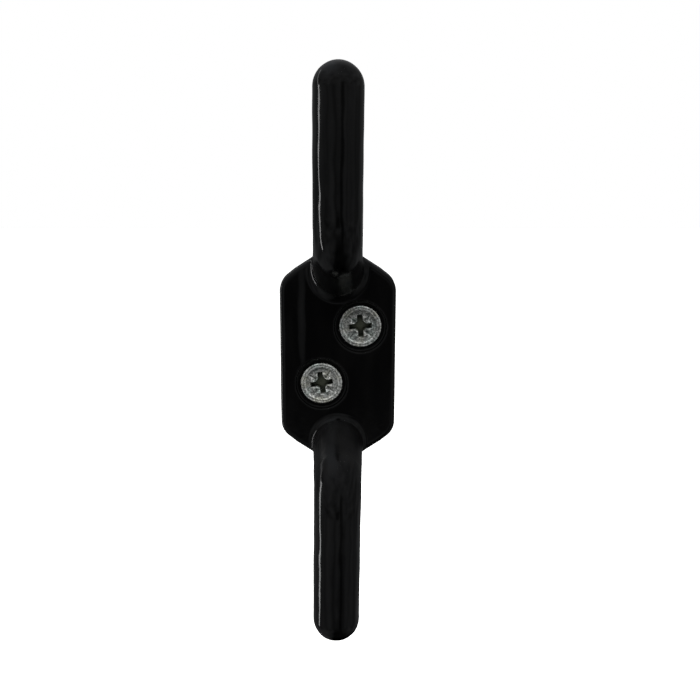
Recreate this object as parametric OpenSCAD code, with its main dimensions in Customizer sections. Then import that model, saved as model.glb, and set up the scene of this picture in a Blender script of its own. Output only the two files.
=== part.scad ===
// Cleat hook for a cord or line: a one-piece casting with two horns, fixed by two wood screws.
// Millimetres. +Z runs along the horns, the front faces -Y, and the back face lies on Y = 0.
// The origin is the centre of the back face. Each shape is drawn on the XY plane as seen from
// the front, with its height above the back face along +Z, and from_wall() stands it upright.

/* [Base plate] */
// Width of the plate
plate_w = 22.6; // [21.5:0.1:28]
// Thickness of the plate
plate_t = 3.2; // [3:0.1:5]
// Height of each straight side above and below the middle
side_h = 13.2; // [10:0.1:14]
// Angle between a sloping end and the straight side
end_angle = 56; // [50:0.5:60]
// Radius of the four side corners, seen from the front
corner_r = 4; // [2:0.1:6]
// Radius of the two ends, behind the necks
end_r = 4.5; // [3:0.1:5]
// Radius of the plate's front edge
edge_r = 0.8; // [0.4:0.1:1.2]

/* [Horns] */
// Length over both horn tips
overall_l = 110; // [90:1:140]
// Diameter of the necks and horns
horn_d = 9; // [7:0.1:9.6]
// Horn axis above the plate's front face
horn_rise = 10; // [9:0.1:14]
// Height at which each neck's axis leaves the front face
root_z = 17.3; // [16.8:0.1:18.5]
// Lean of each neck away from the middle
neck_lean = 31.5; // [20:0.5:35]
// Radius of each bend, on the axis
bend_r = 8.4; // [7:0.1:9]
// Height of the cast fillet round each root
fillet_h = 1.4; // [1:0.1:2.4]

/* [Screw holes] */
// Upper hole, sideways from the middle
upper_x = 4.4; // [3.5:0.1:4.8]
// Upper hole, above the middle
upper_z = 6.2; // [5.7:0.1:6.6]
// Lower hole, sideways from the middle
lower_x = -3.2; // [-4.8:0.1:-3]
// Lower hole, above the middle
lower_z = -5.3; // [-6.4:0.1:-5]
// Diameter of the clearance holes
hole_d = 5; // [4.6:0.1:5.2]
// Diameter of the shallow counterbore in front of each countersink
bore_d = 10.2; // [9.6:0.1:10.4]
// Depth of the counterbores
bore_depth = 0.8; // [0.6:0.1:1]

/* [Wood screws] */
// Length of each screw
screw_l = 25; // [20:1:40]
// Diameter of the smooth shank and over the thread
shank_d = 4.2; // [3.8:0.1:4.2]
// Diameter of the core between the threads
core_d = 2.9; // [2.6:0.1:3]
// Diameter of the head
head_d = 8.2; // [7.8:0.1:8.4]
// Thickness of the head's rim
rim_t = 0.3; // [0.2:0.1:0.4]
// Depth of a seated head's top below the front face
head_sunk = 0.2; // [0:0.1:0.4]
// Length of the smooth part, head included
smooth_l = 8; // [6:0.5:10]
// Advance of the thread in one turn
pitch = 1.8; // [1.4:0.1:2.2]
// Axial gap between a seated head and its countersink
seat_gap = 0.1; // [0.05:0.05:0.2]

/* [Hidden] */
$fn = 96;

half_w = plate_w / 2;
horn_r = horn_d / 2;
bore_r = bore_d / 2;
shank_r = shank_d / 2;
core_r = core_d / 2;
head_r = head_d / 2;
// where a corner arc ends and the sloping end begins
slope_x = half_w - corner_r + corner_r * cos(end_angle);
slope_y = side_h + corner_r * sin(end_angle);
// centre of the round end, inside the point where the two slopes would meet
end_y = slope_y + slope_x / tan(end_angle) - end_r / sin(end_angle);
round_x = end_r * cos(end_angle);
round_y = end_y + end_r * sin(end_angle);
// the outline's corners: one quarter from the side to the end, then all four in turn
QUARTER = [[half_w, side_h], [slope_x, slope_y], [round_x, round_y]];
OUTLINE = [
    for (i = [0 : 2]) QUARTER[i],
    for (i = [2 : -1 : 0]) [-QUARTER[i].x, QUARTER[i].y],
    for (i = [0 : 2]) -QUARTER[i],
    for (i = [2 : -1 : 0]) [QUARTER[i].x, -QUARTER[i].y]
];
// posts that the plate's rounded front edge runs round: each is [x, y, radius]
POSTS = [
    for (x = [-1, 1], y = [-1, 1]) [x * (half_w - corner_r), y * side_h, corner_r],
    for (y = [-1, 1]) [0, y * end_y, end_r]
];
EDGE_FN = 32;
// the neck starts this far above the back face and ends where its bend begins: it's drawn
// longer than that by its tail, and clipped
neck_foot = 0.6;
neck_tail = 10;
bend_rise = horn_rise - bend_r * (1 - sin(neck_lean));
bend_y = root_z + bend_rise * tan(neck_lean);
horn_y = bend_y + bend_r * cos(neck_lean);
// the bend is a hair thicker than the neck and the horn, and they reach into it
seam_step = 0.02;
seam_lap = 0.1;
// cast fillet: it starts inside the plate, stands proud of the neck by a hair so that the two
// surfaces cross cleanly, and fades out round the outer side of the neck
FILLET_RINGS = 8;
FILLET_SIDES = 48;
fillet_sunk = 0.9;
fillet_proud = 0.1;
fade_start = 70;
fade_end = 130;
// radius that the countersink's cone would have at the front face
sink_r = head_r + rim_t + seat_gap + head_sunk;
// heights above a screw's tip: the rim's lower edge, the small end of the head's cone, and the
// back face of the plate. From there the shank is a little thicker, up to the cone.
rim_y = screw_l - rim_t;
cone_y = rim_y - head_r + shank_r;
wall_y = min(cone_y, screw_l + head_sunk - plate_t);
neck_step = 0.15;
// thread and gimlet point
THREAD_SIDES = 20;
THREAD_STEPS = 6;
ridge_share = 0.5;
point_l = 4;
tip_r = 0.2;
thread_l = screw_l - smooth_l;
THREAD_RINGS = ceil(thread_l / pitch * THREAD_STEPS);
// cross recess: four tapered wings, a square pilot between them, and four thin ticks
recess_depth = 2.1;
wing_in = 0.6;
wing_out = 2.35;
wing_t = 0.9;
pilot_w = 1.9;
pilot_depth = 1.2;
tick_in = 1.9;
tick_out = 2.9;
tick_t = 0.25;
tick_depth = 0.15;
upper_turn = 4;
lower_turn = 10;
eps = 0.01;

// stands a shape up against the wall: its height then runs along -Y
module from_wall() {
    rotate([90, 0, 0]) children();
}

// one tube from rings of points, each ring with the same number of sides
module tube_solid(points, rings, sides) {
    faces = [
        [for (side = [0 : sides - 1]) side],
        for (ring = [0 : rings - 1], side = [0 : sides - 1])
            let (next = (side + 1) % sides, low = ring * sides, high = low + sides)
                each [
                    [low + side, high + side, high + next],
                    [low + side, high + next, low + next]
                ],
        [for (side = [sides - 1 : -1 : 0]) rings * sides + side]
    ];
    polyhedron(points, faces);
}

// the plate's outline: straight sides and slopes, with arcs at the corners and ends
module plate_outline() {
    polygon(OUTLINE);
    for (post = POSTS) translate([post.x, post.y]) circle(post.z);
}

// the top of one post, as a quarter round turned about its axis
module edge_post(radius) {
    rotate_extrude($fn = EDGE_FN) {
        square([radius - edge_r, edge_r]);
        intersection() {
            translate([radius - edge_r, 0]) circle(edge_r, $fn = EDGE_FN);
            square([radius, edge_r]);
        }
    }
}

module plate() {
    linear_extrude(plate_t - edge_r) plate_outline();
    translate([0, 0, plate_t - edge_r]) hull() {
        for (post = POSTS) translate([post.x, post.y, 0]) edge_post(post.z);
    }
}

// how far the fillet reaches beyond the neck at a height above the front face
function fillet_reach(height) =
    fillet_h - sqrt(pow(fillet_h, 2) - pow(fillet_h - max(height, 0), 2));
// the share of the fillet that is left at an angle round the neck
function fillet_share(turn) = min(1, max(0, (fade_end - abs(turn)) / (fade_end - fade_start)));
function fillet_point(height, turn) =
    let (
        share = fillet_share(turn),
        extra = (fillet_reach(height) + fillet_proud) * share - fillet_proud * (1 - share)
    ) [
        (horn_r + extra) * sin(turn),
        root_z + height * tan(neck_lean) - (horn_r / cos(neck_lean) + extra) * cos(turn),
        plate_t + height
    ];

// the cast fillet round one root, kept inside the plate's outline
module root_fillet() {
    points = [
        for (ring = [0 : FILLET_RINGS], side = [0 : FILLET_SIDES - 1])
            fillet_point(
                ring == 0 ? -fillet_sunk : fillet_h * (ring - 1) / (FILLET_RINGS - 1),
                360 * side / FILLET_SIDES - 180
            )
    ];
    intersection() {
        tube_solid(points, FILLET_RINGS, FILLET_SIDES);
        linear_extrude(plate_t + fillet_h + eps) plate_outline();
    }
}

// leaning neck, clipped a little above the back face
module neck() {
    length = bend_rise / cos(neck_lean) + neck_tail;
    intersection() {
        translate([0, bend_y, plate_t + bend_rise]) rotate([-neck_lean, 0, 0])
            translate([0, 0, -length]) cylinder(h = length + seam_lap, r = horn_r);
        translate([-horn_d, 0, neck_foot]) cube([2 * horn_d, overall_l, 2 * horn_rise + plate_t]);
    }
}

// bend from the neck's lean to the direction of the horn
module bend() {
    translate([0, horn_y, plate_t + horn_rise - bend_r]) rotate([90 - neck_lean, 0, 0])
        rotate([0, -90, 0]) rotate_extrude(angle = 90 - neck_lean)
            translate([bend_r, 0]) circle(horn_r + seam_step);
}

// straight horn with a domed tip
module horn() {
    length = overall_l / 2 - horn_y - horn_r + seam_lap;
    translate([0, horn_y - seam_lap, plate_t + horn_rise]) rotate([-90, 0, 0]) rotate_extrude() {
        square([horn_r, length]);
        translate([0, length]) intersection() {
            circle(horn_r);
            square(horn_r);
        }
    }
}

module arm() {
    root_fillet();
    neck();
    bend();
    horn();
}

// clearance hole, countersink and shallow counterbore
module screw_hole() {
    translate([0, 0, -eps]) cylinder(h = plate_t + 2 * eps, d = hole_d);
    translate([0, 0, plate_t - sink_r]) cylinder(h = sink_r, r1 = 0, r2 = sink_r);
    translate([0, 0, plate_t - bore_depth]) cylinder(h = bore_depth + eps, r = bore_r);
}

module cleat_casting() {
    color("#141416") from_wall() difference() {
        union() {
            plate();
            arm();
            mirror([0, 1, 0]) arm();
        }
        translate([upper_x, upper_z, 0]) screw_hole();
        translate([lower_x, lower_z, 0]) screw_hole();
    }
}

// radius of the thread's surface at a height above the tip and an angle round the axis
function thread_ridge(height, turn) =
    let (phase = height / pitch - turn / 360, off = abs(phase - floor(phase) - 0.5) * 2)
        max(0, 1 - off / ridge_share);
function thread_radius(height, turn) =
    let (grow = min(1, height / point_l))
        tip_r + (core_r - tip_r) * grow + (shank_r - core_r) * grow * thread_ridge(height, turn);

// core, thread and point of a screw, up to the smooth shank: the height above the tip is along +Z
module screw_thread() {
    points = [
        for (ring = [0 : THREAD_RINGS], side = [0 : THREAD_SIDES - 1])
            let (
                height = thread_l * ring / THREAD_RINGS,
                turn = 360 * side / THREAD_SIDES,
                radius = ring == THREAD_RINGS ? core_r : thread_radius(height, turn)
            )
                [radius * cos(turn), radius * sin(turn), height]
    ];
    tube_solid(points, THREAD_RINGS, THREAD_SIDES);
}

// smooth shank, countersunk head and rim, from the thread up to the top of the head
module screw_body() {
    rotate_extrude() polygon([
        [0, thread_l],
        [shank_r, thread_l],
        [shank_r, wall_y],
        [shank_r + neck_step, cone_y + neck_step],
        [head_r, rim_y],
        [head_r, screw_l],
        [0, screw_l]
    ]);
}

// one tapered wing of the cross recess, pointing along +X, with its mouth at height 0
module wing() {
    intersection() {
        rotate([90, 0, 0]) translate([0, 0, -wing_t / 2]) linear_extrude(wing_t)
            polygon([[0, eps], [wing_out, eps], [wing_in, -recess_depth], [0, -recess_depth]]);
        translate([0, 0, -recess_depth]) cylinder(h = recess_depth + eps, r = wing_out);
    }
}

// cross recess with four wings, a square pilot set between them, and four thin ticks
module cross_recess() {
    for (quarter = [0 : 3]) rotate([0, 0, 90 * quarter]) {
        wing();
        rotate([0, 0, 45]) translate([tick_in, -tick_t / 2, -tick_depth])
            cube([tick_out - tick_in, tick_t, tick_depth + eps]);
    }
    translate([-pilot_w / 2, -pilot_w / 2, -pilot_depth]) cube([pilot_w, pilot_w, pilot_depth + eps]);
}

// a screw seated in a hole, drawn from the tip up to the head
module seated_screw(x, y, turn) {
    color("#9b9c97") from_wall() translate([x, y, plate_t - head_sunk - screw_l]) rotate([0, 0, turn])
        difference() {
            union() {
                screw_thread();
                screw_body();
            }
            translate([0, 0, screw_l]) cross_recess();
        }
}

module upper_screw() {
    seated_screw(upper_x, upper_z, upper_turn);
}

module lower_screw() {
    seated_screw(lower_x, lower_z, lower_turn);
}

cleat_casting();
upper_screw();
lower_screw();
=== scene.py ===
import itertools
import math

import bpy
import numpy as np
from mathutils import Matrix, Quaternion, Vector, noise


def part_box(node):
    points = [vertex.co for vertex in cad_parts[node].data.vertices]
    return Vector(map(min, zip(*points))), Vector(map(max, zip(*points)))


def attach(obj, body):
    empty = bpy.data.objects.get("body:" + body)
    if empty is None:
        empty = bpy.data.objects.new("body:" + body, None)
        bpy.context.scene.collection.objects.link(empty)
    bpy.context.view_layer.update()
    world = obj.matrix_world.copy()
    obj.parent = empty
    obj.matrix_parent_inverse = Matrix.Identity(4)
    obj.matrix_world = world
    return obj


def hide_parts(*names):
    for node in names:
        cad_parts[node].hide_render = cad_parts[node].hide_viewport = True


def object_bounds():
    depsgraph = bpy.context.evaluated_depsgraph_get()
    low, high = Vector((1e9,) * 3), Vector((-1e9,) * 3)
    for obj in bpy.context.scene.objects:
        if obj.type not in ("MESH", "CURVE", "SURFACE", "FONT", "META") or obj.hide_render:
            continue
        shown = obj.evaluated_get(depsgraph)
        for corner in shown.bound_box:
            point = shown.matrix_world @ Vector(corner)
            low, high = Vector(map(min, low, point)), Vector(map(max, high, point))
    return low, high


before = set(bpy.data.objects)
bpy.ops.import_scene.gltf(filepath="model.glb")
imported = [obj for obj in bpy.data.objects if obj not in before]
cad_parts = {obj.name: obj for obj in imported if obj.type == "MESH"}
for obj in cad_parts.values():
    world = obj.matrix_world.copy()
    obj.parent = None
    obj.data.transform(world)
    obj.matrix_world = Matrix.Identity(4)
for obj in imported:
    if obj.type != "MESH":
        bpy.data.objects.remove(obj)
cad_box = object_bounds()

# Shapes are worked out in millimetres and stored in metres. Y runs into the wall, so a height
# above the wall is -Y. X is to the right and Z up, as seen from the front.
MM = 0.001


def box_mm(node):
    """Lowest and highest corner of a CAD node, in millimetres."""
    low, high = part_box(node)
    return np.array(low) / MM, np.array(high) / MM


CAST_LOW, CAST_HIGH = box_mm("cleat_casting")
# each screw's node, and how far its head is turned, in degrees
SCREWS = {"upper_screw": 4.0, "lower_screw": 10.0}

# base plate. Its outline is a long hexagon grown by the corner radius: half the height of a side,
# a point that bows each slope, and the height of the apex, all before it is grown.
PLATE_T = 3.2
PLATE_HALF_W = CAST_HIGH[0]
SIDE_H = 13.12
CORNER_R = 4.0
SLOPE_MID = (6.0, 14.15)
APEX_Z = 18.0
FRONT_EDGE_R = 0.9
BACK_EDGE_R = 0.3
# a slight step down in the front face: it fades in to the left over these x and upwards over these z
LEDGE = 0.15
LEDGE_X = (-7.9, -6.0)
LEDGE_Z = (-8.0, 4.0)

# horns and necks: a neck's axis leaves the plate's face at ROOT_Z. It starts inside the plate, and
# the bar is cut off just in front of the back face. The fillets reach through there, so the back
# face swells by up to 0.18 mm behind the upper neck and 0.04 mm behind the lower one.
HORN_R = 4.5
HORN_AXIS_H = -CAST_LOW[1] - HORN_R
ROOT_Z = 17.3
NECK_LEAN = math.radians(31.7)
BEND_R = 8.4
NECK_START_H = 1.7
NECK_CLIP_H = 0.6
NECK_CLIP_R = 0.3
# radius of the fillet at each root, how far each tip stands off centre, and how much wider than
# deep each neck is at its root. The widening fades between these heights.
UPPER_ARM = {"fillet": 1.5, "tip_x": 0.08, "widen": 0.05}
LOWER_ARM = {"fillet": 0.9, "tip_x": -0.34, "widen": 0.09}
WIDEN_H = (3.0, 16.0)

# screw holes
HOLE_R = 2.5
CONE_R = 4.7
BORE_R = 5.1
BORE_DEPTH = 0.8
BORE_EDGE_R = 0.14
HOLE_BACK_EDGE_R = 0.3
# the edge radius changes from the back's to the front's between these heights
HOLE_EDGE_H = (1.0, 2.0)

# a sum or difference of two lengths, times this, is the distance to a 45 degree line or cone
DIAGONAL = math.sqrt(0.5)

# screws. Depths are below the top of the head.
SCREW_LOW, SCREW_HIGH = box_mm("upper_screw")
SCREW_L = SCREW_HIGH[1] - SCREW_LOW[1]
HEAD_R = 4.1
RIM_T = 0.3
RIM_EDGE_R = 0.26
UNDER_EDGE_R = 0.05
UNDER_FILLET_R = 0.15
DISH_R = 3.3
DISH_WALL = 0.26
DISH_STEP = 0.30
DISH_BOW = 0.12
SHANK_R = 2.1
CORE_R = 1.45
THREAD_START = 8.0
SHANK_TAPER_T = (THREAD_START - 0.4, THREAD_START + 0.3)
RIDGE_RISE_T = (THREAD_START - 0.1, THREAD_START + 1.0)
PITCH = 1.8
RIDGE_HALF_W = 0.42
POINT_L = 4.0
RIDGE_FADE_L = 0.8 * POINT_L
TIP_R = 0.15
# the body's field is made gentler by this, because the ridge is steep
BODY_SLOPE = 0.7

# cross recess: four tapering wings, a square middle and four shallow ticks between the wings. Each
# taper is the size lost per millimetre of depth.
WING_REACH = 2.5
WING_REACH_TAPER = 0.45
WING_HALF_W = 0.57
WING_HALF_W_TAPER = 0.07
MIDDLE_HALF_W = 1.3
MIDDLE_TAPER = 0.3
RECESS_DEPTH = 1.9
RECESS_EDGE_R = 0.07
TICK_DEPTH = 0.62
TICK_MID_R = 2.15
TICK_HALF_L = 0.85

# grid cells of the meshes. Past HEAD_CELLS_T a screw's cells are longer along the shank.
CASTING_CELL = 0.27
SCREW_CELL = 0.08
SHANK_STRETCH = 1.7
HEAD_CELLS_T = 3.0
MARGIN_CELLS = 2

# cast unevenness: how high the waves are and how long along x, y and z. The short ones are lower
# near the wall, on the plate. None reach the back face or the counterbores.
LONG_WAVE = 0.060
LONG_WAVE_L = np.array((5.0, 5.0, 11.0))
SHORT_WAVE = 0.050
SHORT_WAVE_LOW = 0.016
SHORT_WAVE_L = np.array((1.7, 1.7, 4.0))
SHORT_WAVE_SHIFT = np.array((31.0, 0.0, 0.0))
WAVE_LOW_H = 5.0
WAVE_FROM_H = (0.2, 1.2)
WAVE_FROM_BORE = 1.5

# masks for the materials. Each pair is where one fades in or out. Bends are per millimetre.
CASTING_BEND = (0.5, 1.6)
CASTING_BEND_REACH = 0.5
ROOT_RISE = (0.4, 1.4)
ROOT_FADE_H = (8.0, 15.0)
SCREW_BEND = (1.0, 4.5)
SCREW_BEND_REACH = 0.12
RECESS_FADE_T = (0.45, 1.2)
RECESS_END_T = RECESS_DEPTH + 0.05
FACE_FADE_T = (0.5, 1.0)
RIM_FADE_R = (DISH_R - 0.2, DISH_R + 0.1)
INNER_GAP = 0.3


# ---------------------------------------------------------------- implicit shapes

def smooth(edge0, edge1, x):
    """0 below edge0, 1 above edge1, and smooth between."""
    t = np.clip((x - edge0) / (edge1 - edge0), 0, 1)
    return t * t * (3 - 2 * t)


def join(a, b, r):
    """Union of two fields with a round fillet of radius r between them."""
    return np.maximum(r, np.minimum(a, b)) - np.hypot(np.maximum(r - a, 0), np.maximum(r - b, 0))


def common(a, b, r):
    """Intersection of two fields with a round edge of radius r."""
    return np.minimum(-r, np.maximum(a, b)) + np.hypot(np.maximum(r + a, 0), np.maximum(r + b, 0))


def segment(u, v, start, end):
    """Distance in a plane from (u, v) to a line segment."""
    du, dv = end[0] - start[0], end[1] - start[1]
    t = np.clip(((u - start[0]) * du + (v - start[1]) * dv) / (du * du + dv * dv), 0, 1)
    return np.hypot(u - start[0] - t * du, v - start[1] - t * dv)


def plate_outline(x, z):
    """Signed distance to the plate's outline: a long hexagon with bowed ends and round corners."""
    corner = (PLATE_HALF_W - CORNER_R, SIDE_H)
    corners = [(corner[0], -SIDE_H), corner, SLOPE_MID, (0, APEX_Z)]
    x, z = np.abs(x), np.abs(z)
    edge, inside = math.inf, x < corner[0]
    for start, end in zip(corners, corners[1:]):
        edge = np.minimum(edge, segment(x, z, start, end))
        if start is not corners[0]:
            side = (x - start[0]) * (end[1] - start[1]) - (z - start[1]) * (end[0] - start[0])
            inside = inside & (side < 0)
    return np.where(inside, -edge, edge) - CORNER_R


def plate(x, h, z):
    """The plate, with rounded front and back edges. h is the height above the wall."""
    outline = plate_outline(x, z)
    r = np.where(h > PLATE_T / 2, FRONT_EDGE_R, BACK_EDGE_R)
    across = np.abs(h - PLATE_T / 2) - PLATE_T / 2
    step = (1 - smooth(*LEDGE_X, x)) * smooth(*LEDGE_Z, z)
    across = np.where(h > PLATE_T / 2, across + LEDGE * step, across)
    return common(outline, across, r)


def per_arm(z, key):
    """The upper arm's value above the middle of the plate, and the lower arm's below it."""
    return np.where(z > 0, UPPER_ARM[key], LOWER_ARM[key])


def arms(x, h, z):
    """Both necks and horns: round bars along a path that leans out and bends up or down."""
    tip_z = CAST_HIGH[2]
    sideways = per_arm(z, "tip_x")
    width = 1 + per_arm(z, "widen") * (1 - smooth(*WIDEN_H, h))
    z = np.abs(z)
    x = (x - sideways * smooth(ROOT_Z, tip_z, z)) / width
    # where the neck ends and the bend begins, and where the bend ends and the horn begins
    bend_h = HORN_AXIS_H - BEND_R * (1 - math.sin(NECK_LEAN))
    bend_z = ROOT_Z + (bend_h - PLATE_T) * math.tan(NECK_LEAN)
    horn_z = bend_z + BEND_R * math.cos(NECK_LEAN)
    start = (NECK_START_H, ROOT_Z + (NECK_START_H - PLATE_T) * math.tan(NECK_LEAN))
    neck = segment(h, z, start, (bend_h, bend_z))
    past_end = np.maximum(np.maximum(horn_z - z, z - tip_z + HORN_R), 0)
    away = np.minimum(neck, np.hypot(h - HORN_AXIS_H, past_end))
    dh, dz = h - (HORN_AXIS_H - BEND_R), horn_z - z
    turn = np.arctan2(dz, dh)
    on_bend = (turn >= 0) & (turn <= math.pi / 2 - NECK_LEAN)
    away = np.where(on_bend, np.minimum(away, np.abs(np.hypot(dh, dz) - BEND_R)), away)
    bar = np.hypot(x, away) - HORN_R
    return common(bar, NECK_CLIP_H - h, NECK_CLIP_R)


def screw_hole(x, h, z, centre):
    """A clearance hole with a 90 degree countersink at the bottom of a shallow counterbore."""
    r = np.hypot(x - centre[0], z - centre[1])
    cone = np.maximum((r - CONE_R + PLATE_T - h) * DIAGONAL, h - PLATE_T)
    bore = np.maximum(r - BORE_R, PLATE_T - BORE_DEPTH - h)
    return np.minimum(np.minimum(r - HOLE_R, cone), bore)


def casting(x, y, z):
    """The whole casting: plate and arms with filleted roots, less the two screw holes."""
    h = -y
    field = join(plate(x, h, z), arms(x, h, z), per_arm(z, "fillet"))
    edge = HOLE_BACK_EDGE_R + (BORE_EDGE_R - HOLE_BACK_EDGE_R) * smooth(*HOLE_EDGE_H, h)
    for node in SCREWS:
        field = common(field, -screw_hole(x, h, z, seat(node)), edge)
    return field


def seat(node):
    """Where a screw's axis meets the plate, as (x, z)."""
    low, high = box_mm(node)
    return (low[0] + high[0]) / 2, (low[2] + high[2]) / 2


def screw_head(r, t):
    """A flat rim, a shallow dish inside it, and a countersunk underside."""
    dish = DISH_STEP * (1 - smooth(DISH_R - DISH_WALL, DISH_R, r)) + DISH_BOW * (1 - (r / HEAD_R) ** 2)
    under = (r - HEAD_R + t - RIM_T) * DIAGONAL
    return common(common(r - HEAD_R, dish - t, RIM_EDGE_R), under, UNDER_EDGE_R)


def screw_body(x, y, r, t):
    """A smooth shank that tapers to a core, with a sharp ridge wound round the core as thread."""
    to_tip = SCREW_L - t
    neck = SHANK_R - (SHANK_R - CORE_R) * smooth(*SHANK_TAPER_T, t)
    core = np.where(t > THREAD_START, TIP_R + (CORE_R - TIP_R) * smooth(0, POINT_L, to_tip), neck)
    turn = np.arctan2(y, x) / (2 * math.pi)
    phase = (t - SCREW_L) / PITCH + turn
    off = np.abs(phase - np.round(phase)) * PITCH
    full = smooth(*RIDGE_RISE_T, t) * smooth(0, RIDGE_FADE_L, to_tip)
    ridge = (SHANK_R - CORE_R) * np.clip(1 - off / RIDGE_HALF_W, 0, 1) * full
    body = np.maximum((r - core - ridge) * BODY_SLOPE, -t)
    return np.maximum(body, t - SCREW_L)


def cross_recess(x, y, r, t):
    """Wings, a square middle with hollow sides, and four thin ticks."""
    u, v = np.abs(x), np.abs(y)
    reach = WING_REACH - WING_REACH_TAPER * t
    half = WING_HALF_W - WING_HALF_W_TAPER * t
    wings = np.minimum(np.maximum(u - reach, v - half), np.maximum(v - reach, u - half))
    middle = (u + v) * DIAGONAL - MIDDLE_HALF_W + MIDDLE_TAPER * t
    recess = np.maximum(np.minimum(wings, middle), t - RECESS_DEPTH)
    ticks = np.maximum(np.abs(u - v) * DIAGONAL - TICK_DEPTH + t, np.abs(r - TICK_MID_R) - TICK_HALF_L)
    return np.minimum(recess, ticks)


def screw(x, y, t):
    """A screw along +t, with the top of its head at t = 0."""
    r = np.hypot(x, y)
    field = join(screw_head(r, t), screw_body(x, y, r, t), UNDER_FILLET_R)
    return common(field, -cross_recess(x, y, r, t), RECESS_EDGE_R)


# ---------------------------------------------------------------- meshes from fields

def surface_net(field, axes):
    """Quads round the zero level of a field on a rectilinear grid, as points and faces."""
    gx, gy, gz = axes
    values = field(gx[:, None, None], gy[None, :, None], gz[None, None, :])
    inside = values < 0
    count = sum(
        inside[a:len(gx) - 1 + a, b:len(gy) - 1 + b, c:len(gz) - 1 + c].astype(np.int8)
        for a, b, c in itertools.product((0, 1), repeat=3)
    )
    cells = np.argwhere((count > 0) & (count < 8))
    index = np.full(count.shape, -1)
    index[tuple(cells.T)] = np.arange(len(cells))
    points, crossings = np.zeros((len(cells), 3)), np.zeros(len(cells))
    for axis in range(3):
        unit = np.eye(3, dtype=int)[axis]
        others = [i for i in range(3) if i != axis]
        for a, b in itertools.product((0, 1), repeat=2):
            start = cells.copy()
            start[:, others[0]] += a
            start[:, others[1]] += b
            f0, f1 = values[tuple(start.T)], values[tuple((start + unit).T)]
            hit = (f0 < 0) != (f1 < 0)
            share = f0[hit] / (f0[hit] - f1[hit])
            at = np.stack([axes[i][start[hit, i]] for i in range(3)], 1)
            step = axes[axis][start[hit, axis] + 1] - axes[axis][start[hit, axis]]
            at[:, axis] += share * step
            points[hit] += at
            crossings[hit] += 1
    points /= crossings[:, None]
    faces = []
    for axis in range(3):
        low = [slice(None)] * 3
        high = [slice(None)] * 3
        low[axis], high[axis] = slice(0, -1), slice(1, None)
        edges = np.argwhere(inside[tuple(low)] != inside[tuple(high)])
        b, c = [(1, 2), (2, 0), (0, 1)][axis]
        ring = []
        for db, dc in ((-1, -1), (0, -1), (0, 0), (-1, 0)):
            cell = edges.copy()
            cell[:, b] += db
            cell[:, c] += dc
            ring.append(index[tuple(cell.T)])
        quad = np.stack(ring, 1)
        flip = ~inside[tuple(edges.T)]
        quad[flip] = quad[flip][:, ::-1]
        faces.append(quad)
    return points, np.concatenate(faces)


def gradient(field, points, step=0.01):
    """Central differences of a field at points."""
    slopes = []
    for axis in range(3):
        shift = np.eye(3)[axis] * step
        slopes.append((field(*(points + shift).T) - field(*(points - shift).T)) / (2 * step))
    return np.stack(slopes, 1)


def onto_surface(field, points, limit, rounds=4):
    """Moves points along the field's slope until they lie on its zero level."""
    flattest, shortest = 0.2, 1e-9
    for _ in range(rounds):
        slope = gradient(field, points)
        steepness = np.maximum((slope ** 2).sum(1), flattest ** 2)[:, None]
        move = field(*points.T)[:, None] * slope / steepness
        length = np.maximum(np.linalg.norm(move, axis=1), shortest)[:, None]
        points = points - move * np.minimum(1, limit / length)
    return points


def relaxed(field, points, faces, limit, rounds):
    """Evens out the quads: each point moves towards its neighbours' middle, then back on."""
    for _ in range(rounds):
        total, count = np.zeros_like(points), np.zeros(len(points))
        for i in range(4):
            for j in (1, 3):
                np.add.at(total, faces[:, i], points[faces[:, (i + j) % 4]])
                np.add.at(count, faces[:, i], 1)
        points = onto_surface(field, 0.5 * points + 0.5 * total / count[:, None], limit, rounds=1)
    return onto_surface(field, points, limit, rounds=2)


def mesh_piece(name, points, faces, masks, material):
    """A smooth-shaded piece from points in millimetres, with a float attribute per mask."""
    mesh = bpy.data.meshes.new(name)
    mesh.from_pydata((points * MM).tolist(), [], faces.tolist())
    mesh.polygons.foreach_set("use_smooth", [True] * len(mesh.polygons))
    for mask, values in masks.items():
        layer = mesh.attributes.new(mask, "FLOAT", "POINT")
        layer.data.foreach_set("value", values.astype(np.float32))
    mesh.materials.append(material)
    mesh.update()
    piece = bpy.data.objects.new(name, mesh)
    bpy.context.scene.collection.objects.link(piece)
    return piece


def waviness(points):
    """Cast unevenness in millimetres: long waves along the horns, shorter ones across."""
    waves = np.zeros(len(points))
    for i, point in enumerate(points):
        height = SHORT_WAVE_LOW if -point[1] < WAVE_LOW_H else SHORT_WAVE
        long_wave = noise.noise(Vector(point / LONG_WAVE_L))
        short_wave = noise.noise(Vector(point / SHORT_WAVE_L + SHORT_WAVE_SHIFT))
        waves[i] = LONG_WAVE * long_wave + height * short_wave
    return waves


# ---------------------------------------------------------------- materials

def new_material(name):
    """A material, its node tree and its Principled shader."""
    material = bpy.data.materials.new(name)
    material.use_nodes = True
    tree = material.node_tree
    return material, tree, tree.nodes["Principled BSDF"]


def noise_node(tree, coords, scale, detail, roughness=0.5):
    """Noise from 0 to 1. The scale is in waves per unit of the coordinates, such as metres."""
    node = tree.nodes.new("ShaderNodeTexNoise")
    node.inputs["Scale"].default_value = scale
    node.inputs["Detail"].default_value = detail
    node.inputs["Roughness"].default_value = roughness
    tree.links.new(coords, node.inputs["Vector"])
    return node.outputs["Fac"]


def ramp_node(tree, value, stops):
    """A value or colour ramp: stops are (position, grey or RGB)."""
    node = tree.nodes.new("ShaderNodeValToRGB")
    node.color_ramp.interpolation = "EASE"
    elements = node.color_ramp.elements
    while len(elements) < len(stops):
        elements.new(0.5)
    for element, (position, colour) in zip(elements, stops):
        element.position = position
        rgb = (colour,) * 3 if isinstance(colour, (int, float)) else colour
        element.color = (*rgb, 1)
    tree.links.new(value, node.inputs["Fac"])
    return node.outputs["Color"]


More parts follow.
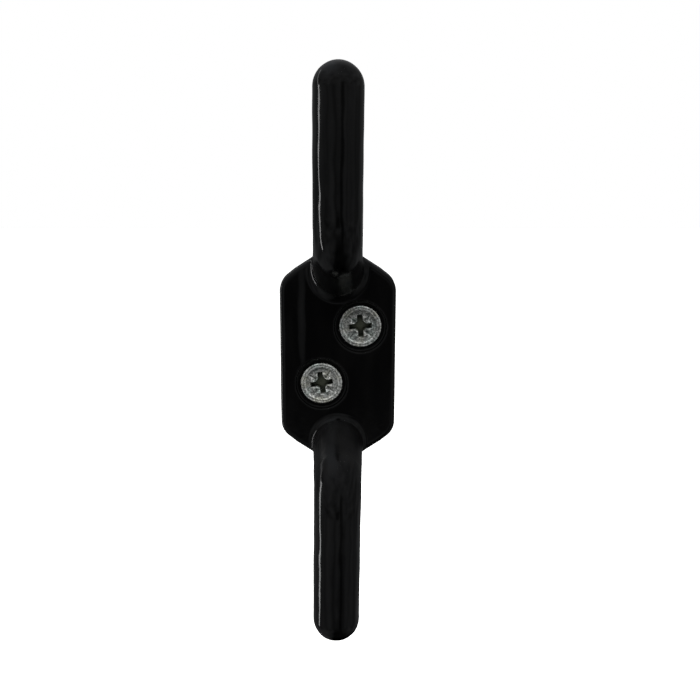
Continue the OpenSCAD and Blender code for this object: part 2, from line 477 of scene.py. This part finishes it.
def feed(tree, socket, value):
    """Sets a socket to a number, or links another node's output to it."""
    if isinstance(value, (int, float)):
        socket.default_value = value
    else:
        tree.links.new(value, socket)


def math_node(tree, operation, *values):
    """The result of one sum. Each value is a number or another node's output."""
    node = tree.nodes.new("ShaderNodeMath")
    node.operation = operation
    for socket, value in zip(node.inputs, values):
        feed(tree, socket, value)
    return node.outputs["Value"]


def stretched(tree, coords, scale):
    """Coordinates scaled differently along each axis, which draws noise out into streaks."""
    node = tree.nodes.new("ShaderNodeMapping")
    node.inputs["Scale"].default_value = scale
    tree.links.new(coords, node.inputs["Vector"])
    return node.outputs["Vector"]


def bump_node(tree, height, distance, strength=1.0, normal=None):
    """A normal bent by a height. The distance is in metres."""
    node = tree.nodes.new("ShaderNodeBump")
    node.inputs["Distance"].default_value = distance
    node.inputs["Strength"].default_value = strength
    tree.links.new(height, node.inputs["Height"])
    if normal is not None:
        tree.links.new(normal, node.inputs["Normal"])
    return node.outputs["Normal"]


def mixed(tree, share, a, b, blend="MIX"):
    """Two colours mixed: a share of b over a."""
    node = tree.nodes.new("ShaderNodeMix")
    node.data_type = "RGBA"
    node.blend_type = blend
    feed(tree, node.inputs["Factor"], share)
    tree.links.new(a, node.inputs["A"])
    tree.links.new(b, node.inputs["B"])
    return node.outputs["Result"]


def object_coords(tree):
    """A piece's own coordinates, in metres."""
    return tree.nodes.new("ShaderNodeTexCoord").outputs["Object"]


def attribute(tree, name):
    """One of the masks that mesh_piece stores."""
    node = tree.nodes.new("ShaderNodeAttribute")
    node.attribute_name = name
    return node.outputs["Fac"]


# black enamel. The roughness is a base and what the clouds, the edges and the roots add to it.
CLOUD_SCALE = (210, 210, 70)
STREAK_SCALE = (900, 900, 45)
PEEL_SCALE = 900
GRAIN_SCALE = 3800
ENAMEL_BLACKS = [(0.35, (0.0008, 0.0008, 0.0009)), (0.7, (0.0028, 0.0027, 0.0027))]
SCUFF_ROUGH = [(0.60, 0.0), (0.78, 0.08)]
ENAMEL_ROUGH = 0.07
CLOUD_ROUGH = 0.06
EDGE_ROUGH = 0.12
ROOT_ROUGH = 0.30
ENAMEL_IOR = 1.5
PEEL_BUMP = 0.000012
GRAIN_BUMP = 0.0000008


def enamel_material():
    """Gloss black enamel over a casting: orange peel, drag marks and slightly worn edges."""
    material, tree, shader = new_material("black_enamel")
    coords = object_coords(tree)
    cloud = noise_node(tree, stretched(tree, coords, CLOUD_SCALE), 1.0, detail=4)
    streaks = noise_node(tree, stretched(tree, coords, STREAK_SCALE), 1.0, detail=3, roughness=0.6)
    peel = noise_node(tree, coords, PEEL_SCALE, detail=2)
    grain = noise_node(tree, coords, GRAIN_SCALE, detail=2)
    rough = math_node(tree, "MULTIPLY_ADD", cloud, CLOUD_ROUGH, ENAMEL_ROUGH)
    rough = math_node(tree, "ADD", rough, ramp_node(tree, streaks, SCUFF_ROUGH))
    rough = math_node(tree, "MULTIPLY_ADD", attribute(tree, "edge"), EDGE_ROUGH, rough)
    rough = math_node(tree, "MULTIPLY_ADD", attribute(tree, "root"), ROOT_ROUGH, rough)
    normal = bump_node(tree, peel, PEEL_BUMP)
    normal = bump_node(tree, grain, GRAIN_BUMP, normal=normal)
    tree.links.new(ramp_node(tree, cloud, ENAMEL_BLACKS), shader.inputs["Base Color"])
    tree.links.new(rough, shader.inputs["Roughness"])
    tree.links.new(normal, shader.inputs["Normal"])
    shader.inputs["IOR"].default_value = ENAMEL_IOR
    return material


# zinc plate. Its colour is a grey from the mottle, tinted, and shaded by what the rings add, by a
# painted highlight on the edges and by painted shade in the hollows. The face is less metallic than the
# rest.
MOTTLE_SCALE = 2600
TINT_SCALE = 380
FINE_SCALE = 9000
SPECKLED_GREYS = [(0.40, (0.27, 0.28, 0.265)), (0.61, (0.84, 0.85, 0.82))]
EVEN_GREYS = [(0.35, (0.56, 0.57, 0.57)), (0.65, (0.68, 0.69, 0.68))]
TINTS = [(0.36, (0.93, 1.0, 0.99)), (0.5, (1, 1, 1)), (0.64, (1.0, 0.985, 0.91))]
# the recess has painted shade: it is darker towards the ends of its wings, which shade it. Its ramp runs
# from the axis to this radius.
RECESS_RAMP_R = 2.5
RECESS_PAINTED_SHADE_GREYS = [(0.12, (0.32, 0.34, 0.25)), (0.62, (0.11, 0.12, 0.095))]
RING_PER_MM = 2.2
RING_WANDER = 9.0
RING_SHADE = 0.28
# a painted highlight on convex edges, as a share added to the colour
EDGE_PAINTED_HIGHLIGHT = 0.5
# painted shade in concave hollows, as a share taken off the colour
HOLLOW_PAINTED_SHADE = -0.15
ZINC_METALLIC = 0.9
FACE_METALLIC = -0.3
ZINC_ROUGH = 0.24
MOTTLE_ROUGH = 0.20
MOTTLE_BUMP = 0.00003
MOTTLE_BUMP_STRENGTH = 0.8
RING_BUMP = 0.00002
FINE_BUMP = 0.000006


def turning_marks(tree, tint):
    """Rings from -1 to 1 on the rim of the head, uneven round it."""
    wander = math_node(tree, "MULTIPLY", tint, RING_WANDER)
    turns = math_node(tree, "MULTIPLY_ADD", attribute(tree, "radius"), RING_PER_MM * 2 * math.pi, wander)
    return math_node(tree, "MULTIPLY", math_node(tree, "SINE", turns), attribute(tree, "rim"))


def zinc_material():
    """Zinc plate on steel: mottled and faintly tinted, with painted shade in the recess and the hollows
    and a painted highlight on edges.
    """
    material, tree, shader = new_material("zinc_plate")
    coords = object_coords(tree)
    mottle = noise_node(tree, coords, MOTTLE_SCALE, detail=4, roughness=0.65)
    tint = noise_node(tree, coords, TINT_SCALE, detail=3)
    fine = noise_node(tree, coords, FINE_SCALE, detail=3)
    face = attribute(tree, "face")
    even = ramp_node(tree, mottle, EVEN_GREYS)
    colour = mixed(tree, face, even, ramp_node(tree, mottle, SPECKLED_GREYS))
    colour = mixed(tree, 1.0, colour, ramp_node(tree, tint, TINTS), "MULTIPLY")
    # turning marks on the rim, a painted highlight on edges and painted shade in hollows
    ring = turning_marks(tree, tint)
    shade = math_node(tree, "MULTIPLY_ADD", ring, RING_SHADE, 1.0)
    shade = math_node(tree, "MULTIPLY_ADD", attribute(tree, "edge"), EDGE_PAINTED_HIGHLIGHT, shade)
    shade = math_node(tree, "MULTIPLY_ADD", attribute(tree, "hollow"), HOLLOW_PAINTED_SHADE, shade)
    colour = mixed(tree, 1.0, colour, shade, "MULTIPLY")
    # painted shade in the recess, darker towards the ends of its wings
    middle = math_node(tree, "MULTIPLY", attribute(tree, "radius"), 1 / RECESS_RAMP_R)
    recess_shade = ramp_node(tree, middle, RECESS_PAINTED_SHADE_GREYS)
    colour = mixed(tree, attribute(tree, "recess"), colour, recess_shade)
    metallic = math_node(tree, "MULTIPLY_ADD", face, FACE_METALLIC, ZINC_METALLIC)
    rough = math_node(tree, "MULTIPLY_ADD", mottle, MOTTLE_ROUGH, ZINC_ROUGH)
    normal = bump_node(tree, mottle, MOTTLE_BUMP, strength=MOTTLE_BUMP_STRENGTH)
    normal = bump_node(tree, ring, RING_BUMP, normal=normal)
    normal = bump_node(tree, fine, FINE_BUMP, normal=normal)
    tree.links.new(colour, shader.inputs["Base Color"])
    tree.links.new(metallic, shader.inputs["Metallic"])
    tree.links.new(rough, shader.inputs["Roughness"])
    tree.links.new(normal, shader.inputs["Normal"])
    return material


FLOOR_SPECKLE_SCALE = 60
FLOOR_WHITES = [(0.3, (0.90, 0.90, 0.89)), (0.7, (0.94, 0.94, 0.93))]
FLOOR_ROUGH = 0.9


def floor_material():
    """Pale matt card with a faint speckle."""
    material, tree, shader = new_material("pale_floor")
    speckle = noise_node(tree, object_coords(tree), FLOOR_SPECKLE_SCALE, detail=3)
    tree.links.new(ramp_node(tree, speckle, FLOOR_WHITES), shader.inputs["Base Color"])
    shader.inputs["Roughness"].default_value = FLOOR_ROUGH
    return material


# ---------------------------------------------------------------- pieces

def steps(low, high, size):
    """Grid lines a given size apart that cover low to high, with room on both sides."""
    return np.arange(low - MARGIN_CELLS * size, high + (MARGIN_CELLS + 0.5) * size, size)


def curvature(field, points, reach):
    """How sharply the surface bends, per millimetre: above 0 on an edge, below 0 in a hollow."""
    bend = -6 * field(*points.T)
    for shift in np.concatenate([np.eye(3), -np.eye(3)]) * reach:
        bend = bend + field(*(points + shift).T)
    return bend / reach ** 2


def make_casting(material):
    """The plate, necks and horns, as one wavy casting."""
    cell = CASTING_CELL
    axes = [steps(CAST_LOW[i], CAST_HIGH[i], cell) for i in range(3)]
    points, faces = surface_net(casting, axes)
    points = onto_surface(casting, points, cell)
    points = relaxed(casting, points, faces, cell, rounds=3)
    height = -points[:, 1]
    masks = {
        "edge": smooth(*CASTING_BEND, curvature(casting, points, CASTING_BEND_REACH)),
        "root": smooth(*ROOT_RISE, height - PLATE_T) * (1 - smooth(*ROOT_FADE_H, height)),
    }
    # the waves stop short of the back face and the countersinks, which touch other things
    normal = gradient(casting, points)
    normal /= np.linalg.norm(normal, axis=1)[:, None]
    free = smooth(*WAVE_FROM_H, height)
    for node in SCREWS:
        centre = seat(node)
        away = np.hypot(points[:, 0] - centre[0], points[:, 2] - centre[1])
        free *= smooth(BORE_R, BORE_R + WAVE_FROM_BORE, away)
    points = points + normal * (waviness(points) * free)[:, None]
    piece = mesh_piece("cleat_body", points, faces, masks, material)
    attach(piece, "cleat")
    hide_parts("cleat_casting")


def screw_masks(points):
    """Masks for the zinc, from points of a screw that lies along +z with its head at 0."""
    depth = points[:, 2]
    radius = np.hypot(points[:, 0], points[:, 1])
    bend = curvature(screw, points, SCREW_BEND_REACH)
    # points of the dish and the recess, well inside the head's cone
    inner = radius < HEAD_R + RIM_T - depth - INNER_GAP
    return {
        "edge": smooth(*SCREW_BEND, bend),
        "hollow": smooth(*SCREW_BEND, -bend),
        "recess": smooth(*RECESS_FADE_T, depth) * (depth < RECESS_END_T) * inner,
        "face": np.where(inner | (depth < RIM_T), 1 - smooth(*FACE_FADE_T, depth), 0),
        "radius": radius,
        "rim": smooth(*RIM_FADE_R, radius) * (depth < FACE_FADE_T[0]),
    }


def make_screws(material):
    """One screw mesh, placed in each hole with its own turn."""
    cell = SCREW_CELL
    long_cell = SHANK_STRETCH * cell
    across = steps(-HEAD_R, HEAD_R, cell)
    head = np.arange(-MARGIN_CELLS * cell, HEAD_CELLS_T, cell)
    shank = np.arange(head[-1] + long_cell, SCREW_L + (MARGIN_CELLS + 1) * cell, long_cell)
    points, faces = surface_net(screw, [across, across, np.concatenate([head, shank])])
    points = onto_surface(screw, points, cell)
    points = relaxed(screw, points, faces, cell, rounds=2)
    masks = screw_masks(points)
    for node, degrees in SCREWS.items():
        x, z = seat(node)
        top = box_mm(node)[0][1]
        turn = math.radians(degrees)
        placed = np.stack([
            x + points[:, 0] * math.cos(turn) - points[:, 1] * math.sin(turn),
            top + points[:, 2],
            z + points[:, 0] * math.sin(turn) + points[:, 1] * math.cos(turn),
        ], 1)
        piece = mesh_piece(node + "_zinc", placed, faces[:, ::-1], masks, material)
        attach(piece, node)
        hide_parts(node)


# ---------------------------------------------------------------- camera, light and floor

# from here on, sizes and places are in metres
CAMERA_AWAY = 0.1775
CAMERA_UP = math.radians(13.5)
CAMERA_LENS = 46.53
CAMERA_SENSOR = 36
CAMERA_SHIFT = (0.01743, 0.01129)
CAMERA_CLIP = (0.01, 20)

FLOOR_DROP = 0.11
FLOOR_SIZE = 4.0
FLOOR_LAMP_RISE = 0.03
FLOOR_LAMP_SIZE = 1.3 * FLOOR_SIZE
FLOOR_LAMP_RADIANCE = 1.25

# the key lamp, a thin upright strip at the left, and a dimmer one from its top that leans back
LAMPS = {
    "key": {
        "place": (0.08, -0.24, 0.58), "target": (0, 0, 0), "size": (1.0, 0.22), "radiance": 11.5,
        "glossy": False,
    },
    "left_strip": {
        "place": (-0.5, 0.02, -0.125), "target": (0, -0.01, -0.1), "size": (0.05, 0.45), "radiance": 5.0,
    },
    "left_strip_top": {
        "place": (-0.5, 0.21, 0.27), "target": (0, -0.01, 0), "size": (0.05, 0.5), "radiance": 1.2,
        "lean": math.radians(48),
    },
}

# the room that reflections see, as strengths: ahead of the cleat and behind it, how much a dark
# part takes off, what is added overhead, the gain towards the upper corner behind the cleat, how
# uneven the walls are, and the window's glow
ROOM_COLOUR = (0.96, 0.98, 1.0, 1)
ROOM_AHEAD = 0.125
ROOM_BEHIND = 0.10
ROOM_DARK = 0.103
ROOM_ABOVE = 0.08
ROOM_CORNER = 0.20
ROOM_CLUTTER = 2.6
ROOM_CLUTTER_LOW = 0.35
ROOM_CLUTTER_SCALE = (2.4, 2.4, 4.5)
WINDOW_COLOUR = (0.76, 0.86, 1.0, 1)
WINDOW_GAIN = 0.14

# where the parts of the room begin and end. Directions run from 0 to 1, and 0.5 is square to the
# axis: left to right, ahead to behind (into the wall), and down to up.
LEVEL_INWARD = [(0.35, ROOM_AHEAD), (0.65, ROOM_BEHIND)]
BAND_RIGHT = [(0.56, 0.0), (0.635, 1.0), (0.665, 1.0), (0.75, 0.0)]
PATCH_RIGHT = [(0.39, 0.0), (0.45, 1.0), (0.55, 1.0), (0.61, 0.0)]
PATCH_UP = [(0.29, 0.0), (0.35, 1.0), (0.43, 1.0), (0.47, 0.0)]
DARK_INWARD = [(0.35, 1.0), (0.5, 0.0)]
DARK_UP = [(0.60, 1.0), (0.75, 0.0)]
BELOW_RIGHT = [(0.34, 0.0), (0.46, 1.0), (0.62, 1.0), (0.90, 0.0)]
BELOW_UP = [(0.08, 1.0), (0.32, 0.0)]
ABOVE_UP = [(0.60, 0.0), (0.90, 0.6 * ROOM_ABOVE), (1.0, ROOM_ABOVE)]
WINDOW_RIGHT = [(0.38, WINDOW_GAIN), (0.57, 0.0)]
WINDOW_UP = [(0.78, 0.0), (0.97, 1.0)]
WINDOW_INWARD = [(0.2, 0.35), (0.68, 1.0)]


def make_camera():
    """Straight in front, a little above, aimed at the middle of the plate's face."""
    data = bpy.data.cameras.new("camera")
    data.lens = CAMERA_LENS
    data.sensor_width = CAMERA_SENSOR
    data.shift_x, data.shift_y = CAMERA_SHIFT
    data.clip_start, data.clip_end = CAMERA_CLIP
    camera = bpy.data.objects.new("camera", data)
    back = Vector((0, -math.cos(CAMERA_UP), math.sin(CAMERA_UP)))
    camera.location = Vector((0, -PLATE_T * MM, 0)) + back * CAMERA_AWAY
    camera.rotation_mode = "QUATERNION"
    camera.rotation_quaternion = (-back).to_track_quat("-Z", "Y")
    bpy.context.scene.collection.objects.link(camera)
    bpy.context.scene.camera = camera


def area_light(name, place, target, size, radiance, lean=0.0, glossy=True):
    """A soft rectangular lamp, unseen by the camera, that looks as bright as a given radiance.
    It leans about its own aim, and shows in reflections unless glossy is False."""
    data = bpy.data.lights.new(name, "AREA")
    data.shape = "RECTANGLE"
    data.size, data.size_y = size
    data.energy = radiance * math.pi * size[0] * size[1]
    light = bpy.data.objects.new(name, data)
    light.location = place
    aim = Vector(target) - Vector(place)
    light.rotation_mode = "QUATERNION"
    light.rotation_quaternion = aim.to_track_quat("-Z", "Y") @ Quaternion((0, 0, 1), lean)
    light.visible_camera = False
    light.visible_glossy = glossy
    bpy.context.scene.collection.objects.link(light)


def background(tree, colour, strength=1.0):
    """A background shader's output."""
    node = tree.nodes.new("ShaderNodeBackground")
    node.inputs["Color"].default_value = colour
    feed(tree, node.inputs["Strength"], strength)
    return node.outputs["Background"]


def both_ramps(tree, a, stops_a, b, stops_b):
    """The product of two ramps, which marks a soft-edged part of the room."""
    return math_node(tree, "MULTIPLY", ramp_node(tree, a, stops_a), ramp_node(tree, b, stops_b))


def room_strengths(tree, direction, x, y, z):
    """The strengths of the room and of its window. The room is dim and uneven, and brighter above
    and behind. Ahead it has a dark upright band and a dark patch, and it is dark below."""
    # ramps take 0 to 1 only, so each axis is halved and centred
    right, inward, up = [math_node(tree, "MULTIPLY_ADD", axis, 0.5, 0.5) for axis in (x, y, z)]
    band = ramp_node(tree, right, BAND_RIGHT)
    patch = both_ramps(tree, right, PATCH_RIGHT, up, PATCH_UP)
    dark = math_node(tree, "MAXIMUM", band, patch)
    dark = math_node(tree, "MULTIPLY", dark, both_ramps(tree, inward, DARK_INWARD, up, DARK_UP))
    below = both_ramps(tree, right, BELOW_RIGHT, up, BELOW_UP)
    dark = math_node(tree, "MAXIMUM", dark, below)
    level = ramp_node(tree, inward, LEVEL_INWARD)
    dim = math_node(tree, "MULTIPLY_ADD", dark, -ROOM_DARK, level)
    clutter = noise_node(tree, stretched(tree, direction, ROOM_CLUTTER_SCALE), 1.0, detail=2)
    clutter = math_node(tree, "MULTIPLY_ADD", clutter, ROOM_CLUTTER, 1 - ROOM_CLUTTER / 2)
    dim = math_node(tree, "MULTIPLY", dim, math_node(tree, "MAXIMUM", clutter, ROOM_CLUTTER_LOW))
    behind, overhead = [math_node(tree, "MAXIMUM", axis, 0.0) for axis in (y, z)]
    corner = math_node(tree, "MULTIPLY", behind, overhead)
    total = math_node(tree, "ADD", dim, ramp_node(tree, up, ABOVE_UP))
    total = math_node(tree, "MULTIPLY_ADD", corner, ROOM_CORNER, total)
    glow = both_ramps(tree, right, WINDOW_RIGHT, up, WINDOW_UP)
    glow = math_node(tree, "MULTIPLY", glow, ramp_node(tree, inward, WINDOW_INWARD))
    return total, glow


def make_world():
    """White to the camera. Everything else sees a dim room with a bluish window overhead."""
    world = bpy.data.worlds.new("studio")
    bpy.context.scene.world = world
    world.use_nodes = True
    tree = world.node_tree
    tree.nodes.clear()
    direction = tree.nodes.new("ShaderNodeTexCoord").outputs["Generated"]
    split = tree.nodes.new("ShaderNodeSeparateXYZ")
    tree.links.new(direction, split.inputs["Vector"])
    total, glow = room_strengths(tree, direction, *split.outputs)
    both = tree.nodes.new("ShaderNodeAddShader")
    tree.links.new(background(tree, ROOM_COLOUR, total), both.inputs[0])
    tree.links.new(background(tree, WINDOW_COLOUR, glow), both.inputs[1])
    path = tree.nodes.new("ShaderNodeLightPath")
    mix = tree.nodes.new("ShaderNodeMixShader")
    out = tree.nodes.new("ShaderNodeOutputWorld")
    tree.links.new(path.outputs["Is Camera Ray"], mix.inputs["Fac"])
    tree.links.new(both.outputs["Shader"], mix.inputs[1])
    tree.links.new(background(tree, (1, 1, 1, 1)), mix.inputs[2])
    tree.links.new(mix.outputs["Shader"], out.inputs["Surface"])


def make_floor():
    """A pale floor well below the cleat, with a wide lamp just over it that lights it evenly."""
    half = FLOOR_SIZE / 2
    z = cad_box[0].z - FLOOR_DROP
    mesh = bpy.data.meshes.new("floor")
    corners = [(-half, -half, z), (half, -half, z), (half, half, z), (-half, half, z)]
    mesh.from_pydata(corners, [], [(0, 1, 2, 3)])
    mesh.materials.append(floor_material())
    floor = bpy.data.objects.new("floor", mesh)
    floor.visible_glossy = False
    floor.visible_diffuse = False
    bpy.context.scene.collection.objects.link(floor)
    place = (0, 0, z + FLOOR_LAMP_RISE)
    size = (FLOOR_LAMP_SIZE, FLOOR_LAMP_SIZE)
    area_light("floor_lamp", place, (0, 0, z), size, FLOOR_LAMP_RADIANCE, glossy=False)


bpy.context.scene.view_settings.view_transform = "Standard"
make_camera()
make_world()
make_floor()
for lamp_name, lamp in LAMPS.items():
    area_light(lamp_name, **lamp)
make_casting(enamel_material())
make_screws(zinc_material())
